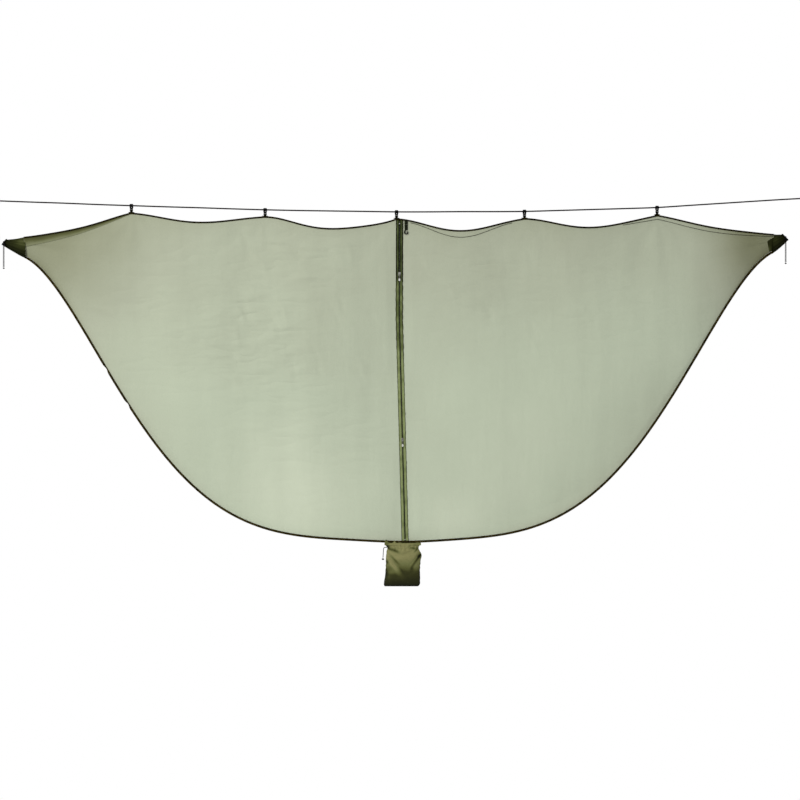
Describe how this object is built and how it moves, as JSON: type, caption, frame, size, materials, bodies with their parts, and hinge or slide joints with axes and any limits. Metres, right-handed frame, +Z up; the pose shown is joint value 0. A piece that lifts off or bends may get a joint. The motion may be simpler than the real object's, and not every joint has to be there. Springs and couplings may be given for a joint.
{
  "type": "hammock bug net",
  "caption": "Long pod of fine mesh hung by hooks from a taut ridge rope, with a full-height front zip, gathered end sleeves and a stuff sack at its bottom hem.",
  "frame": {"origin": "centre of the ridge rope under the middle hook", "axes": "+X along the ridge rope to the right as seen from the zip side, -Y towards the zip side, +Z up"},
  "size_m": [3.7056, 0.1108, 1.7015],
  "materials": {
    "rope": "tightly braided polyester rope, near black with a brown tint",
    "black_plastic": "satin black moulded nylon",
    "webbing": "dark olive woven tape",
    "binding": "dark olive grosgrain binding, stitched",
    "mesh": "very fine sage mosquito mesh, slightly see-through",
    "ripstop": "dark olive ripstop cloth",
    "sack_cloth": "olive coated taffeta, creased",
    "drawcord": "thin braided cord",
    "spring_steel": "bright spring wire",
    "zip_tape": "dark olive woven zip tape",
    "zip_coil": "near black nylon coil",
    "nickel": "bright nickel plate, lightly rubbed"
  },
  "bodies": {
    "ridge_line": {"ridge_rope": "rope", "ridge_knot_left": "rope", "ridge_knot_right": "rope", "ridge_loop_left": "rope", "ridge_loop_right": "rope"},
    "hooks": {"ridge_hook_1": "black_plastic", "ridge_hook_2": "black_plastic", "ridge_hook_3": "black_plastic", "ridge_hook_4": "black_plastic", "ridge_hook_5": "black_plastic"},
    "net": {"hook_tab_1": "webbing", "hook_tab_2": "webbing", "hook_tab_3": "webbing", "hook_tab_4": "webbing", "hook_tab_5": "webbing", "roof_strip": "ripstop", "top_binding_front": "binding", "top_binding_back": "binding", "bottom_binding": "binding", "net_front_left": "mesh", "net_front_right": "mesh", "net_back": "mesh", "end_sleeve_left": "ripstop", "end_sleeve_right": "ripstop", "sleeve_channel_left": "ripstop", "sleeve_channel_right": "ripstop", "drawcord_left": "drawcord", "drawcord_right": "drawcord", "drawcord_knot_left": "drawcord", "drawcord_knot_right": "drawcord", "zip_tape_left": "zip_tape", "zip_tape_right": "zip_tape", "zip_coil_left": "zip_coil", "zip_coil_right": "zip_coil", "zip_top_stop": "nickel", "zip_bottom_stop": "nickel", "door_strap_anchor": "webbing"},
    "door_tie": {"door_strap": "webbing", "door_hook": "black_plastic"},
    "slider_upper": {"zip_slider_upper": "nickel"},
    "slider_lower": {"zip_slider_lower": "nickel"},
    "pull_upper": {"zip_pull_upper": "nickel"},
    "pull_lower": {"zip_pull_lower": "nickel"},
    "lock_left": {"lock_barrel_left": "black_plastic", "lock_spring_left": "spring_steel"},
    "lock_right": {"lock_barrel_right": "black_plastic", "lock_spring_right": "spring_steel"},
    "plunger_left": {"lock_plunger_left": "black_plastic"},
    "plunger_right": {"lock_plunger_right": "black_plastic"},
    "sack": {"sack_body": "sack_cloth", "sack_channel": "sack_cloth", "sack_flap": "sack_cloth", "sack_cord": "drawcord", "sack_cord_knot": "drawcord"}
  },
  "joints": [
    {"name": "ridge_slide", "type": "slide", "parent": "ridge_line", "child": "hooks", "axis": [1, 0, 0], "range_m": [-0.015, 0.015]},
    {"name": "net_swing", "type": "hinge", "parent": "hooks", "child": "net", "pos_m": [0, 0, -0.009], "axis": [1, 0, 0], "range_deg": [-10, 10]},
    {"name": "sack_swing", "type": "hinge", "parent": "net", "child": "sack", "pos_m": [0.0265, 0, -1.437], "axis": [1, 0, 0], "range_deg": [-35, 35]},
    {"name": "door_hook_swing", "type": "hinge", "parent": "net", "child": "door_tie", "pos_m": [0.0415, -0.024, -0.056], "axis": [-1, 0, 0], "range_deg": [0, 100]},
    {"name": "zip_slider_upper_slide", "type": "slide", "parent": "net", "child": "slider_upper", "axis": [0.0024, -0.0129, 0.9999], "range_m": [-0.17, 0.2]},
    {"name": "zip_pull_upper_swing", "type": "hinge", "parent": "slider_upper", "child": "pull_upper", "pos_m": [0.01246, -0.02169, -0.27004], "axis": [-1, 0, 0.0024], "range_deg": [0, 150]},
    {"name": "zip_slider_lower_slide", "type": "slide", "parent": "net", "child": "slider_lower", "axis": [-0.0259, -0.0129, 0.9996], "range_m": [-0.34, 0.48]},
    {"name": "zip_pull_lower_swing", "type": "hinge", "parent": "slider_lower", "child": "pull_lower", "pos_m": [0.02569, -0.01246, -0.9878], "axis": [-0.9997, 0, -0.0259], "range_deg": [0, 150]},
    {"name": "cord_lock_left_slide", "type": "slide", "parent": "net", "child": "lock_left", "axis": [0, 0, -1], "range_m": [0, 0.07]},
    {"name": "lock_plunger_left_press", "type": "slide", "parent": "lock_left", "child": "plunger_left", "axis": [0, 1, 0], "range_m": [0, 0.0022], "stiffness_N_per_m": 300, "springref_m": -0.003, "deforming": ["lock_spring_left"]},
    {"name": "cord_lock_right_slide", "type": "slide", "parent": "net", "child": "lock_right", "axis": [0, 0, -1], "range_m": [0, 0.07]},
    {"name": "lock_plunger_right_press", "type": "slide", "parent": "lock_right", "child": "plunger_right", "axis": [0, 1, 0], "range_m": [0, 0.0022], "stiffness_N_per_m": 300, "springref_m": -0.003, "deforming": ["lock_spring_right"]}
  ]
}
